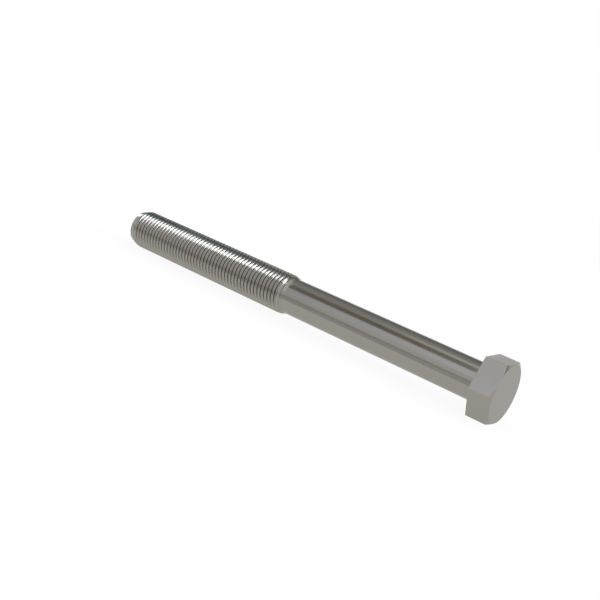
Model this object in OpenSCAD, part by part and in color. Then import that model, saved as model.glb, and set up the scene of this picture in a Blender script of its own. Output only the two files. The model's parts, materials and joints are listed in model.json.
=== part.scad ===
/* [Head] */
// Distance across the flats of the hexagon
across_flats = 18.8; // [17.2:0.1:24]
// Height of the hexagon
head_height = 7.5; // [5:0.1:12]
// Diameter of the round top, where the chamfer of the corners starts
top_diameter = 18.9; // [15:0.1:19.5]
// Slope of that chamfer, in degrees below the top
chamfer_slope = 30; // [15:1:45]
// Diameter of the washer face under the hexagon
washer_face_diameter = 16.8; // [15:0.1:17]
// Height of the washer face
washer_face_height = 0.4; // [0.2:0.1:1]

/* [Shank] */
// Length from the washer face to the tip
screw_length = 147; // [110:1:200]
// Diameter of the plain shank
shank_diameter = 12.4; // [12.2:0.1:13.5]
// Radius of the fillet between shank and head
neck_radius = 0.6; // [0.2:0.1:0.7]

/* [Thread] */
// Outside diameter of the thread
thread_diameter = 14; // [13.6:0.1:16]
// Distance from one turn to the next
thread_pitch = 1.5; // [1.25:0.25:2]
// Width of the flat on top of each turn
crest_width = 0.24; // [0.16:0.02:0.4]
// Width of the flat at the bottom of the groove between the turns
root_width = 0.43; // [0.2:0.01:0.6]
// Length from the tip to where the outside of the thread starts to taper
thread_length = 72; // [30:1:90]
// Length of that taper, down to the shank
runout_length = 2.5; // [1:0.1:6]
// Diameter of the flat end of the tip
tip_diameter = 12.2; // [10:0.1:13]
// Length of the cone at the tip
tip_length = 2.85; // [1:0.05:5]

/* [Hidden] */
$fn = 96;

flat_radius = across_flats / 2;
corner_radius = flat_radius / cos(30);
top_radius = top_diameter / 2;
shank_radius = shank_diameter / 2;
thread_radius = thread_diameter / 2;
tip_radius = tip_diameter / 2;
head_top = washer_face_height + head_height;
tip_end = -screw_length;
tip_shoulder = tip_end + tip_length;
thread_end = tip_end + thread_length;
shank_end = thread_end + runout_length;

// The flanks of the thread stand at 60 degrees to each other
flank_slope = tan(30);
thread_depth = (thread_pitch - crest_width - root_width) / (2 * flank_slope);
root_radius = thread_radius - thread_depth;
steps_per_turn = 20;
groove_clearance = 0.02;
mouth_radius = thread_radius / cos(180 / steps_per_turn) + groove_clearance;
mouth_width = root_width + 2 * (mouth_radius - root_radius) * flank_slope;

// The screw lies on one flat of its head and on the first full turn of its thread
rest_tilt = atan((flat_radius - thread_radius) / (washer_face_height - tip_shoulder));
rest_height = flat_radius * cos(rest_tilt) - washer_face_height * sin(rest_tilt);
rest_shift = ((screw_length - head_top) * cos(rest_tilt) - (top_radius - tip_radius) * sin(rest_tilt)) / 2;

// Lays the screw's own axis, +Z towards the head, along +X on the ground
module at_rest() {
    translate([rest_shift, 0, rest_height])
        rotate([0, 90 - rest_tilt, 0])
            children();
}

// Hexagon with a flat towards +X, its top corners taken off by a cone
module hexagon_head() {
    cone_foot_radius = top_radius + head_height / tan(chamfer_slope);
    translate([0, 0, washer_face_height])
        intersection() {
            rotate([0, 0, 30])
                cylinder(h = head_height, r = corner_radius, $fn = 6);
            cylinder(h = head_height, r1 = cone_foot_radius, r2 = top_radius);
        }
}

// Washer face, reaching up into the hexagon
module washer_face() {
    cylinder(h = washer_face_height + head_height / 2, d = washer_face_diameter);
}

// Concave fillet round the top of the shank
module neck_fillet() {
    rotate_extrude()
        translate([shank_radius, -neck_radius])
            difference() {
                square(neck_radius);
                translate([neck_radius, 0])
                    circle(neck_radius);
            }
}

// Shank, run-out, outside of the thread and tip as one turned blank, reaching up into the head
module turned_blank() {
    rotate_extrude()
        polygon([
            [0, head_top / 2],
            [0, tip_end],
            [tip_radius, tip_end],
            [thread_radius, tip_shoulder],
            [thread_radius, thread_end],
            [shank_radius, shank_end],
            [shank_radius, head_top / 2],
        ]);
}

// Right-hand groove between the turns: it comes down at the tip and lifts out past the
// run-out within one turn each
module thread_groove() {
    groove_start = tip_shoulder - thread_pitch;
    groove_end = shank_end + thread_pitch;
    steps = ceil((groove_end - groove_start) / thread_pitch * steps_per_turn);
    section = [
        [mouth_radius, -mouth_width / 2],
        [root_radius, -root_width / 2],
        [root_radius, root_width / 2],
        [mouth_radius, mouth_width / 2],
    ];
    points = [
        for (i = [0 : steps])
            let (
                turns = i / steps_per_turn,
                turns_left = (steps - i) / steps_per_turn,
                lift = (thread_depth + groove_clearance) * max(0, 1 - turns, 1 - turns_left)
            )
                for (p = section)
                    [
                        (p[0] + lift) * cos(360 * turns),
                        (p[0] + lift) * sin(360 * turns),
                        groove_start + turns * thread_pitch + p[1],
                    ]
    ];
    sides = [
        for (i = [0 : steps - 1], j = [0 : 3])
            let (a = 4 * i + j, b = 4 * i + (j + 1) % 4)
                each [[a, b + 4, b], [a, a + 4, b + 4]]
    ];
    first_end = [0, 1, 2, 3];
    last_end = [for (j = [3 : -1 : 0]) 4 * steps + j];
    polyhedron(points, concat([first_end], sides, [last_end]), convexity = 10);
}

module threaded_shank() {
    difference() {
        turned_blank();
        thread_groove();
    }
}

module cap_screw() {
    color("#96938c")
        at_rest() {
            hexagon_head();
            washer_face();
            neck_fillet();
            threaded_shank();
        }
}

cap_screw();
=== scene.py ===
import json
import math

import bmesh
import bpy
from mathutils import Matrix, Quaternion, Vector


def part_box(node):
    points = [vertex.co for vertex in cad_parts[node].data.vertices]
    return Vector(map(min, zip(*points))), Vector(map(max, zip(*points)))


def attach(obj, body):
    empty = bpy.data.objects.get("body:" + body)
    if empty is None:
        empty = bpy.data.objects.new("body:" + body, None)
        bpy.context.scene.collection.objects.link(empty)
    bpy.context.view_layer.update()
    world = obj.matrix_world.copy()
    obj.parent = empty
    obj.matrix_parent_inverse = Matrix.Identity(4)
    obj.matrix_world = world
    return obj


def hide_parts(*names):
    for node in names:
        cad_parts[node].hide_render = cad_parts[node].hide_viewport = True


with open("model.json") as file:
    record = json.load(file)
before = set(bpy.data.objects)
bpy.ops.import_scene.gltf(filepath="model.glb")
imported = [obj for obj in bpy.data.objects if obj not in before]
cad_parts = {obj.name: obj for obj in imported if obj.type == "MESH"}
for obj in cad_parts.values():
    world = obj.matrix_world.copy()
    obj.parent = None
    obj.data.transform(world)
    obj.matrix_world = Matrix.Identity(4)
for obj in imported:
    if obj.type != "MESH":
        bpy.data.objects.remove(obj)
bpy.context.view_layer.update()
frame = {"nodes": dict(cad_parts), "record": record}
print("frame loaded:", sorted(frame["nodes"]))

mm = 0.001  # metres in a millimetre
fullTurn = 2 * math.pi


def toLinear(hexColour):
    parts = [int(hexColour[i:i + 2], 16) / 255 for i in (1, 3, 5)]
    return [c / 12.92 if c <= 0.04045 else ((c + 0.055) / 1.055) ** 2.4 for c in parts] + [1]


def addNode(tree, kind, settings=None, links=None):
    node = tree.nodes.new(kind)
    for name, value in (settings or {}).items():
        if name in node.inputs:
            node.inputs[name].default_value = value
        else:
            setattr(node, name, value)
    for name, socket in (links or {}).items():
        tree.links.new(socket, node.inputs[name])
    return node


def emptyTree(owner):
    owner.use_nodes = True
    owner.node_tree.nodes.clear()
    return owner.node_tree


# where the screw lies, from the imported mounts
mounts = {mount["name"]: mount for mount in frame["record"]["mounts"]}
headTop = Vector(mounts["head_top"]["pos_m"])
screwAxis = Vector(mounts["head_top"]["axis"]).normalized()  # from tip to head
headDepth = (headTop - Vector(mounts["bearing_face"]["pos_m"])).dot(screwAxis)
seat = headTop - screwAxis * headDepth  # middle of the washer face
sideways = Vector((0, 1, 0))
placement = Matrix((sideways.cross(screwAxis), sideways, screwAxis)).transposed().to_4x4()
placement.translation = seat
boxLow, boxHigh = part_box("cap_screw")

screw = {
    # sizes in mm, on the screw's own axis with the washer face at zero
    "flatRadius": (boxHigh.y - boxLow.y) / 2 * math.cos(math.pi / 6) / mm,
    "headTop": headDepth / mm,
    "topRadius": 9.45,
    "chamferSlope": math.radians(30),
    "washerFaceRadius": 8.4,
    "washerFaceHeight": 0.4,
    "length": 147,
    "shankRadius": 6.2,
    "neckRadius": 0.6,
    "threadRadius": mounts["thread"]["dims"]["r_mm"],
    "threadLength": 72,
    "runoutLength": 2.5,
    "tipRadius": 6.1,
    "tipLength": 2.85,
    "pitch": 1.5,
    "threadDepth": 0.72,
    "crestFlat": 0.24,
    "flankSlope": math.radians(30),  # each flank, away from square to the axis
    # rounding of the edges, in mm
    "cornerRound": 0.04,
    "edgeRound": 0.04,
    "washerRound": 0.12,
    "tipRound": 0.12,
    "crestRound": 0.06,
    "rootRound": 0.25,
    # steps along each rounding
    "cornerSteps": 4,
    "edgeSteps": 3,
    "rimSteps": 2,
    "neckSteps": 6,
    "washerSteps": 3,
    "tipSteps": 4,
    "crestSteps": 2,
    "rootSteps": 3,
    # mesh density
    "columns": 72,
    "flatSteps": 10,
    "shankStep": 6,  # mm from ring to ring
    "support": 0.12,  # mm from an edge to the loop that holds it
    "mergeGap": 1e-4,  # mm
    "sharpAngle": math.radians(32),
}
screw["tipEnd"] = -screw["length"]
screw["tipShoulder"] = screw["tipEnd"] + screw["tipLength"]
screw["threadEnd"] = screw["tipEnd"] + screw["threadLength"]
screw["shankEnd"] = screw["threadEnd"] + screw["runoutLength"]


def arcPoints(centre, radius, start, stop, steps):
    angles = [math.radians(start + (stop - start) * i / steps) for i in range(steps + 1)]
    return [(centre[0] + radius * math.cos(a), centre[1] + radius * math.sin(a)) for a in angles]


def stretch(first, last, support):
    # two points close to the ends of a straight line, which keep it flat under smooth shading
    gap = Vector(last) - Vector(first)
    step = gap * min(support / max(gap.length, 1e-6), 0.4)
    return [tuple(Vector(first) + step), tuple(Vector(last) - step)]


def addRing(bm, radius, height, count):
    turn = fullTurn / count
    angles = [j * turn for j in range(count)]
    return [bm.verts.new((radius * math.cos(a), radius * math.sin(a), height)) for a in angles]


def joinRings(bm, lower, upper):
    for j in range(len(lower)):
        k = (j + 1) % len(lower)
        bm.faces.new((lower[j], lower[k], upper[k], upper[j]))


def turnOf(vert):
    return math.atan2(vert.co.y, vert.co.x) % fullTurn


def zipRings(bm, inner, outer):
    # triangles between two rings of different counts
    def turnAt(ring, j):
        return turnOf(ring[j % len(ring)]) + fullTurn * (j // len(ring))
    inner, outer = sorted(inner, key=turnOf), sorted(outer, key=turnOf)
    i = j = 0
    while i < len(inner) or j < len(outer):
        here, there = inner[i % len(inner)], outer[j % len(outer)]
        if j == len(outer) or i < len(inner) and turnAt(inner, i + 1) <= turnAt(outer, j + 1):
            i += 1
            bm.faces.new((here, there, inner[i % len(inner)]))
        else:
            j += 1
            bm.faces.new((here, there, outer[j % len(outer)]))


def threadRows(s):
    # one pitch of the thread as (share of the pitch, depth), from the middle of one crest to the next
    pitch, depth = s["pitch"], s["threadDepth"]
    crestRound, rootRound = s["crestRound"], s["rootRound"]
    bend = math.tan(s["flankSlope"])
    crestHalf = s["crestFlat"] / 2 - crestRound * bend
    rootHalf = (pitch - s["crestFlat"]) / 2 - (depth + rootRound) * bend
    leaving = arcPoints((crestHalf, crestRound), crestRound, -90, -30, s["crestSteps"])
    falling = arcPoints((pitch / 2 - rootHalf, depth - rootRound), rootRound, 150, 90, s["rootSteps"])
    rising = arcPoints((pitch / 2 + rootHalf, depth - rootRound), rootRound, 90, 30, s["rootSteps"])
    arriving = arcPoints((pitch - crestHalf, crestRound), crestRound, 210, 270, s["crestSteps"])
    down = stretch(leaving[-1], falling[0], s["support"])
    up = stretch(rising[-1], arriving[0], s["support"])
    profile = leaving + down + falling + rising + up + arriving
    return [(along / pitch, deep) for along, deep in profile]


def blankRadius(s, height):
    # outside of tip cone, thread and run-out before the grooves
    if height < s["tipShoulder"]:
        share = (height - s["tipEnd"]) / s["tipLength"]
        return s["tipRadius"] + (s["threadRadius"] - s["tipRadius"]) * share
    if height > s["threadEnd"]:
        share = (height - s["threadEnd"]) / s["runoutLength"]
        return s["threadRadius"] + (s["shankRadius"] - s["threadRadius"]) * min(share, 1)
    return s["threadRadius"]


def addThread(bm, s, low, high):
    # a right-hand helical strip; its ends are flattened on the planes low and high, and merge there
    rows = threadRows(s)
    pitch, columns = s["pitch"], s["columns"]
    turnsBefore = math.ceil(s["tipLength"] / pitch) + 2.5  # starts below the tip, a groove at the shoulder
    start = s["tipShoulder"] - pitch * turnsBefore
    total = math.ceil((high - start) / pitch + 1) * columns + 1
    strip = []
    for m in range(total):
        angle = fullTurn * m / columns
        groove = start + pitch * (m / columns + 0.5)
        bite = min(max((groove - s["tipShoulder"]) / pitch + 1, 0), 1)  # comes down within one turn
        column = []
        for share, depth in rows:
            height = min(max(start + pitch * (m / columns + share), low), high)
            radius = min(blankRadius(s, height), s["threadRadius"] - depth * bite)
            column.append(bm.verts.new((radius * math.cos(angle), radius * math.sin(angle), height)))
        strip.append(column)
    for m in range(total - columns - 1):
        here = strip[m] + strip[m + columns][:1]
        there = strip[m + 1] + strip[m + 1 + columns][:1]
        for k in range(len(rows)):
            bm.faces.new((here[k], there[k], there[k + 1], here[k + 1]))


def hexagonOutline(s):
    # rounded hexagon with a flat towards +X, as points in the plane
    corner = s["cornerRound"]
    reach = (s["flatRadius"] - corner) * math.tan(math.pi / 6)
    inset = 1 - s["support"] / reach
    places = [-1] + [inset * (2 * i / s["flatSteps"] - 1) for i in range(s["flatSteps"] + 1)]
    centre = Vector((s["flatRadius"] - corner, reach))
    points = []
    for side in range(6):
        turn = Matrix.Rotation(side * math.pi / 3, 2)
        for place in places:
            points.append(turn @ Vector((s["flatRadius"], reach * place)))
        for i in range(s["cornerSteps"]):
            angle = math.pi / 3 * i / s["cornerSteps"]
            points.append(turn @ (centre + corner * Vector((math.cos(angle), math.sin(angle)))))
    return points


def addHead(bm, s):
    # side, chamfer and top of the hexagon, one column of points for each point of its outline
    rounding, support = s["edgeRound"], s["support"]
    slope = s["chamferSlope"]
    steep = 90 - math.degrees(slope)
    ceiling = s["headTop"] - rounding
    chamferTop = s["topRadius"] - rounding * (1 / math.cos(slope) - 1) / math.tan(slope)
    rows = []
    for point in hexagonOutline(s):
        wall = point.length
        inner = wall - rounding
        chamfer = s["headTop"] - (inner - s["topRadius"]) * math.tan(slope) - rounding / math.cos(slope)
        foot = arcPoints((inner, s["washerFaceHeight"] + rounding), rounding, -90, 0, s["edgeSteps"])
        bend = arcPoints((inner, min(chamfer, ceiling)), rounding, 0, steep, s["edgeSteps"])
        rim = arcPoints((min(inner, chamferTop), ceiling), rounding, steep, 90, s["rimSteps"])
        profile = [(foot[0][0] - support, foot[0][1])] + foot + stretch(foot[-1], bend[0], support)
        profile += bend + stretch(bend[-1], rim[0], support) + rim
        profile.append((rim[-1][0] - support, s["headTop"]))
        way = point / wall
        rows.append([bm.verts.new((way.x * r, way.y * r, z)) for r, z in profile])
    loops = [list(loop) for loop in zip(*rows)]
    for lower, upper in zip(loops, loops[1:]):
        joinRings(bm, lower, upper)
    bm.faces.new(loops[-1])
    return loops[0]


def addShank(bm, s):
    # rings from the top of the run-out up to the corner under the hexagon
    neck = s["neckRadius"]
    edge = s["washerRound"]
    low, high = s["shankEnd"] + s["support"], -neck - s["support"]
    steps = max(1, round((high - low) / s["shankStep"]))
    heights = [s["shankEnd"]] + [low + (high - low) * i / steps for i in range(steps + 1)]
    fillet = arcPoints((s["shankRadius"] + neck, -neck), neck, 180, 90, s["neckSteps"])
    rim = arcPoints((s["washerFaceRadius"] - edge, edge), edge, -90, 0, s["washerSteps"])
    profile = [(s["shankRadius"], height) for height in heights]
    profile += fillet + stretch(fillet[-1], rim[0], s["support"]) + rim
    profile.append((s["washerFaceRadius"], s["washerFaceHeight"]))
    rings = [addRing(bm, r, z, s["columns"]) for r, z in profile]
    for lower, upper in zip(rings, rings[1:]):
        joinRings(bm, lower, upper)
    return rings[-1]


def addTip(bm, s):
    # rounded rim and flat end
    edge = s["tipRound"]
    centre = (blankRadius(s, s["tipEnd"] + edge) - edge, s["tipEnd"] + edge)
    profile = arcPoints(centre, edge, -90, 0, s["tipSteps"])
    profile.insert(0, (profile[0][0] - s["support"], profile[0][1]))
    rings = [addRing(bm, r, z, s["columns"]) for r, z in profile]
    for lower, upper in zip(rings, rings[1:]):
        joinRings(bm, lower, upper)
    bm.faces.new(reversed(rings[0]))


def buildScrew(s):
    bm = bmesh.new()
    addTip(bm, s)
    addThread(bm, s, s["tipEnd"] + s["tipRound"], s["shankEnd"])
    washerLoop = addShank(bm, s)
    hexagonLoop = addHead(bm, s)
    zipRings(bm, washerLoop, hexagonLoop)
    bmesh.ops.remove_doubles(bm, verts=bm.verts, dist=s["mergeGap"])
    bmesh.ops.recalc_face_normals(bm, faces=bm.faces)
    bmesh.ops.transform(bm, matrix=placement @ Matrix.Scale(mm, 4), verts=bm.verts)
    mesh = bpy.data.meshes.new("capScrew")
    bm.to_mesh(mesh)
    openEdges = sum(1 for edge in bm.edges if not edge.is_manifold)
    bm.free()
    mesh.shade_smooth()
    mesh.set_sharp_from_angle(angle=s["sharpAngle"])
    piece = bpy.data.objects.new("capScrew", mesh)
    bpy.context.scene.collection.objects.link(piece)
    print("screw:", len(mesh.polygons), "faces,", openEdges, "open edges")
    return piece


steel = {
    "colour": "#95928a",
    "edge": "#e8e8e8",
    "roughness": (0.17, 0.23),  # from the smoothest to the dullest patches
    "patch": 9,  # mm, from one dull patch to the next
    "patchRange": (0.3, 0.7),  # the part of the noise that is spread over that roughness
    "grain": 0.5,  # mm across a drawing mark; real ones are near 0.05 mm, too fine for the picture
    "grainLength": 12,  # a mark is this many times longer along the screw
    "grainHeight": 0.0015,  # mm
}


def stainlessSteel(look):
    # drawn and rolled stainless steel: a warm grey metal with a soft sheen,
    # a little duller in patches and faintly streaked along its length
    material = bpy.data.materials.new("stainlessSteel")
    tree = emptyTree(material)
    place = addNode(tree, "ShaderNodeTexCoord").outputs["Object"]
    patches = addNode(tree, "ShaderNodeTexNoise", {
        "Scale": 1 / (look["patch"] * mm), "Detail": 3}, {"Vector": place})
    smooth, dull = look["roughness"]
    least, most = look["patchRange"]
    sheen = addNode(tree, "ShaderNodeMapRange", {
        "From Min": least, "From Max": most, "To Min": smooth, "To Max": dull}, {"Value": patches.outputs[0]})
    across = 1 / (look["grain"] * mm)
    along = addNode(tree, "ShaderNodeMapping", {
        "vector_type": "POINT", "Scale": (across / look["grainLength"], across, across)}, {"Vector": place})
    marks = addNode(tree, "ShaderNodeTexNoise", {"Scale": 1, "Detail": 2}, {"Vector": along.outputs[0]})
    relief = addNode(tree, "ShaderNodeBump", {
        "Strength": 1, "Distance": look["grainHeight"] * mm}, {"Height": marks.outputs[0]})
    shader = addNode(tree, "ShaderNodeBsdfPrincipled", {
        "Base Color": toLinear(look["colour"]), "Metallic": 1, "Specular Tint": toLinear(look["edge"])},
        {"Roughness": sheen.outputs[0], "Normal": relief.outputs[0]})
    addNode(tree, "ShaderNodeOutputMaterial", links={"Surface": shader.outputs["BSDF"]})
    return material


piece = buildScrew(screw)
piece.data.materials.append(stainlessSteel(steel))
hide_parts("cap_screw")
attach(piece, "root")
print("steel: on the screw, which replaces cap_screw")

studio = {
    "floorRadius": 1.5,  # metres
    "floorSides": 96,
    "floorPaint": "#f4f4f4",
    "floorShade": 0.08,  # share of the floor that takes light and shadow
    "white": "#ffffff",  # floor and sky to the eye
    "sky": "#fafafa",  # light of the sky on the floor
}


def whiteForEye(tree):
    # 1 for what the camera sees, straight or in metal and glass
    path = addNode(tree, "ShaderNodeLightPath")
    first = addNode(tree, "ShaderNodeMath", {"operation": "MAXIMUM"})
    tree.links.new(path.outputs["Is Camera Ray"], first.inputs[0])
    tree.links.new(path.outputs["Is Glossy Ray"], first.inputs[1])
    second = addNode(tree, "ShaderNodeMath", {"operation": "MAXIMUM"})
    tree.links.new(first.outputs[0], second.inputs[0])
    tree.links.new(path.outputs["Is Transmission Ray"], second.inputs[1])
    return second.outputs[0]


def paintedBoard(look):
    # matt painted board, white to the eye, with part of its light left for the shadow
    material = bpy.data.materials.new("paintedBoard")
    tree = emptyTree(material)
    paint = addNode(tree, "ShaderNodeBsdfDiffuse", {"Color": toLinear(look["floorPaint"])})
    glow = addNode(tree, "ShaderNodeEmission", {"Color": toLinear(look["white"]), "Strength": 1})
    share = addNode(tree, "ShaderNodeMath", {"operation": "MULTIPLY"})
    tree.links.new(whiteForEye(tree), share.inputs[0])
    share.inputs[1].default_value = 1 - look["floorShade"]
    mix = addNode(tree, "ShaderNodeMixShader", links={"Fac": share.outputs[0]})
    tree.links.new(paint.outputs[0], mix.inputs[1])
    tree.links.new(glow.outputs[0], mix.inputs[2])
    addNode(tree, "ShaderNodeOutputMaterial", links={"Surface": mix.outputs[0]})
    return material


def addFloor(look):
    bm = bmesh.new()
    bmesh.ops.create_circle(bm, cap_ends=True, segments=look["floorSides"], radius=look["floorRadius"])
    mesh = bpy.data.meshes.new("floor")
    bm.to_mesh(mesh)
    bm.free()
    mesh.materials.append(paintedBoard(look))
    floor = bpy.data.objects.new("floor", mesh)
    bpy.context.scene.collection.objects.link(floor)


def addSky(look):
    world = bpy.data.worlds.new("studio")
    tree = emptyTree(world)
    shade = addNode(tree, "ShaderNodeMix", {"data_type": "RGBA"}, {"Factor": whiteForEye(tree)})
    shade.inputs[6].default_value = toLinear(look["sky"])  # colour A
    shade.inputs[7].default_value = toLinear(look["white"])  # colour B
    sky = addNode(tree, "ShaderNodeBackground", {"Strength": 1}, {"Color": shade.outputs[2]})
    addNode(tree, "ShaderNodeOutputWorld", links={"Surface": sky.outputs[0]})
    bpy.context.scene.world = world


addFloor(studio)
addSky(studio)
print("studio: white floor and sky")

# soft boxes: their side and height in degrees, distance in metres, and size and roll in degrees
lamps = {
    "keyBox": {"azimuth": 16.2, "elevation": 32.6, "distance": 1.5, "spread": (18.5, 19.5),
               "roll": 45, "radiance": 8, "colour": "#e8efff"},  # white stripe on the thread's flanks
    "kickBox": {"azimuth": 163, "elevation": 18, "distance": 1.5, "spread": (12, 8),
                "roll": 0, "radiance": 4, "colour": "#f4f8ff"},  # glint on the tip's cone
}


def fromAngles(azimuth, elevation):
    a, e = math.radians(azimuth), math.radians(elevation)
    return Vector((math.cos(e) * math.cos(a), math.cos(e) * math.sin(a), math.sin(e)))


def acrossAt(distance, degrees):
    return 2 * distance * math.tan(math.radians(degrees) / 2)


def addLamp(name, lamp):
    light = bpy.data.lights.new(name, "AREA")
    light.shape = "RECTANGLE"
    light.size, light.size_y = (acrossAt(lamp["distance"], angle) for angle in lamp["spread"])
    light.color = toLinear(lamp["colour"])[:3]
    light.energy = lamp["radiance"] * math.pi * light.size * light.size_y
    box = bpy.data.objects.new(name, light)
    way = fromAngles(lamp["azimuth"], lamp["elevation"])
    roll = Quaternion((0, 0, 1), math.radians(lamp["roll"]))
    box.location = way * lamp["distance"]
    box.rotation_euler = (way.to_track_quat("Z", "Y") @ roll).to_euler()
    box.visible_camera = False
    bpy.context.scene.collection.objects.link(box)


for name, lamp in lamps.items():
    addLamp(name, lamp)
print("lamps:", len(lamps))

# boards that only the metal sees: the way to their middle in degrees, its distance,
# how far along X they stand and their size in metres
cards = {
    "frontCard": {"azimuth": -90, "elevation": 39.5, "distance": 2, "along": -0.18,
                  "size": (2.23, 1.26), "colour": "#eff1ff", "glow": 1.065},  # front of shank and head
    "sillCard": {"azimuth": -90, "elevation": 12.5, "distance": 2, "along": -0.18,
                 "size": (2.23, 0.67), "colour": "#f4f4f4", "glow": 1},  # below it, down to the floor
    "nearCard": {"azimuth": -90, "elevation": 40.5, "distance": 1.9, "along": -0.31,
                 "size": (0.83, 1.13), "colour": "#f1f3ff", "glow": 1.3},  # brighter by the head
    "threadFront": {"azimuth": -90, "elevation": 30, "distance": 2, "along": -2.39,
                    "size": (2.14, 2.04), "colour": "#d2d5dc", "glow": 1},  # front of the thread
    "gapCard": {"azimuth": -90, "elevation": 70.5, "distance": 2, "along": -2.04,
                "size": (2.85, 0.96), "colour": "#928d85", "glow": 1},  # dark line above the front
    "topCard": {"azimuth": 90, "elevation": 87.5, "distance": 2, "along": -2.18,
                "size": (2.57, 0.60), "colour": "#c3c2c0", "glow": 1},  # straight above
    "upCard": {"azimuth": 90, "elevation": 66.5, "distance": 2, "along": -1.73,
               "size": (3.46, 0.89), "colour": "#c0c0c0", "glow": 1},  # above, towards the back
    "threadCard": {"azimuth": -90, "elevation": 79.5, "distance": 0.0301, "along": -0.062,
                   "size": (0.036, 0.0066), "colour": "#eef2ff", "glow": 4},  # close above the thread
    "threadEndCard": {"azimuth": -90, "elevation": 77.4, "distance": 0.0303, "along": -0.0298,
                      "size": (0.0285, 0.0066), "colour": "#eef2ff", "glow": 5.5},  # and by its run-out
    "backCard": {"azimuth": 90, "elevation": 36, "distance": 2, "along": -0.32,
                 "size": (2.10, 1.30), "colour": "#9da0a4", "glow": 1},  # back of the shank
    "threadBack": {"azimuth": 90, "elevation": 42.5, "distance": 1.9, "along": -2.30,
                   "size": (1.99, 1.81), "colour": "#6f7a88", "glow": 1},  # back of the thread
    "endCard": {"azimuth": 42, "elevation": 41, "distance": 2.2, "along": 0,
                "size": (1.34, 1.43), "colour": "#6a7686", "glow": 1},  # dark, past the head
    "cornerCard": {"azimuth": 33, "elevation": 16.5, "distance": 2.2, "along": 0,
                   "size": (0.82, 0.5), "colour": "#aeb0b3", "glow": 1},  # chamfer of the head
    "lowCard": {"azimuth": -90, "elevation": 6, "distance": 0.05, "along": -0.04,
                "size": (0.4, 0.0106), "colour": "#c3c4c7", "glow": 1},  # close in front, on the floor
    "footCard": {"azimuth": -90, "elevation": 6.9, "distance": 0.022, "along": -0.04,
                 "size": (0.4, 0.0053), "colour": "#d5d6d9", "glow": 1},  # and closer
}


def addCard(name, card):
    width, height = card["size"]
    bm = bmesh.new()
    bmesh.ops.create_grid(bm, x_segments=1, y_segments=1, size=0.5)
    bmesh.ops.scale(bm, vec=(width, height, 1), verts=bm.verts)
    mesh = bpy.data.meshes.new(name)
    bm.to_mesh(mesh)
    bm.free()
    material = bpy.data.materials.new(name)
    tree = emptyTree(material)
    glow = addNode(tree, "ShaderNodeEmission", {"Color": toLinear(card["colour"]), "Strength": card["glow"]})
    addNode(tree, "ShaderNodeOutputMaterial", links={"Surface": glow.outputs[0]})
    mesh.materials.append(material)
    board = bpy.data.objects.new(name, mesh)
    way = fromAngles(card["azimuth"], card["elevation"])
    board.location = way * card["distance"] + Vector((card["along"], 0, 0))
    board.rotation_euler = way.to_track_quat("Z", "Y").to_euler()
    board.visible_camera = False
    board.visible_diffuse = False
    board.visible_shadow = False
    bpy.context.scene.collection.objects.link(board)


for name, card in cards.items():
    addCard(name, card)
print("boards:", len(cards))

view = {
    "azimuth": -58.07,
    "elevation": 12.99,
    "roll": 17.83,
    "distance": 308.5,  # mm
    "aim": -69.65,  # mm along the screw from its washer face
    "lens": 54.85,  # mm
    "sensor": 36,  # mm
    "nearest": 10,  # mm, nothing closer is drawn
}


def addCamera(look):
    camera = bpy.data.objects.new("camera", bpy.data.cameras.new("camera"))
    camera.data.sensor_width = look["sensor"]
    camera.data.lens = look["lens"]
    camera.data.clip_start = look["nearest"] * mm
    way = fromAngles(look["azimuth"], look["elevation"])
    level = way.to_track_quat("Z", "Y").to_matrix().to_4x4()
    roll = Matrix.Rotation(math.radians(look["roll"]), 4, "Z")
    place = seat + screwAxis * look["aim"] * mm + way * look["distance"] * mm
    camera.matrix_world = Matrix.Translation(place) @ level @ roll
    bpy.context.scene.collection.objects.link(camera)
    bpy.context.scene.camera = camera


addCamera(view)
bpy.context.scene.view_settings.view_transform = "Standard"
print("camera:", view["distance"], "mm away")
